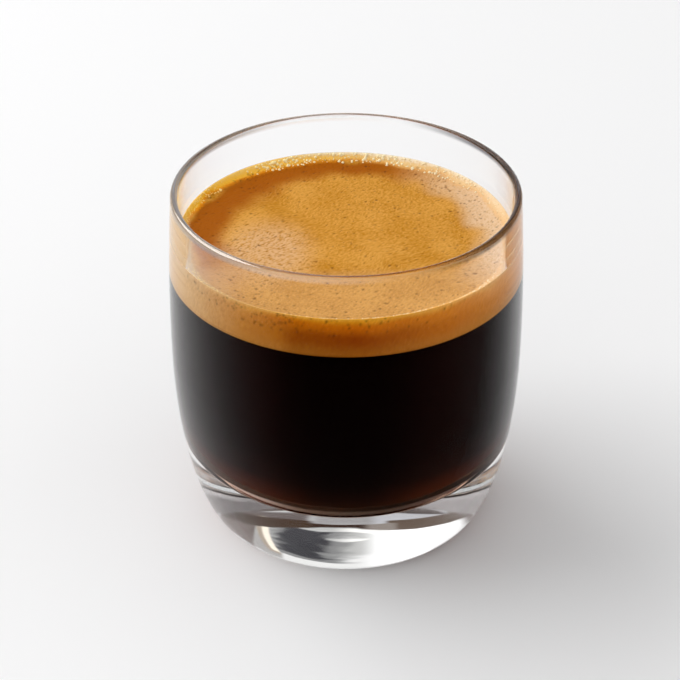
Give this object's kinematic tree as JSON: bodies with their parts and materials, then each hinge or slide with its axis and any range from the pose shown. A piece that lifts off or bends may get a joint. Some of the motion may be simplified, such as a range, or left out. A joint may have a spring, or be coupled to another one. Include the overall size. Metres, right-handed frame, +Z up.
{
  "type": "lungo coffee in a glass",
  "caption": "Lungo coffee with a thick tan crema, served in a clear rounded glass tumbler with a heavy base.",
  "frame": {"origin": "centre of the base, on the surface that the glass stands on", "axes": "+Z up along the glass's axis; the glass is the same all round, and +Y points away from the viewer in the picture"},
  "size_m": [0.0688, 0.0688, 0.0704],
  "materials": {
    "glass": "clear, fire-polished",
    "coffee": "dark liquid, glossy",
    "crema": "fine foam, satin"
  },
  "bodies": {
    "root": {"glass": "glass", "coffee": "coffee", "crema": "crema"}
  },
  "joints": []
}
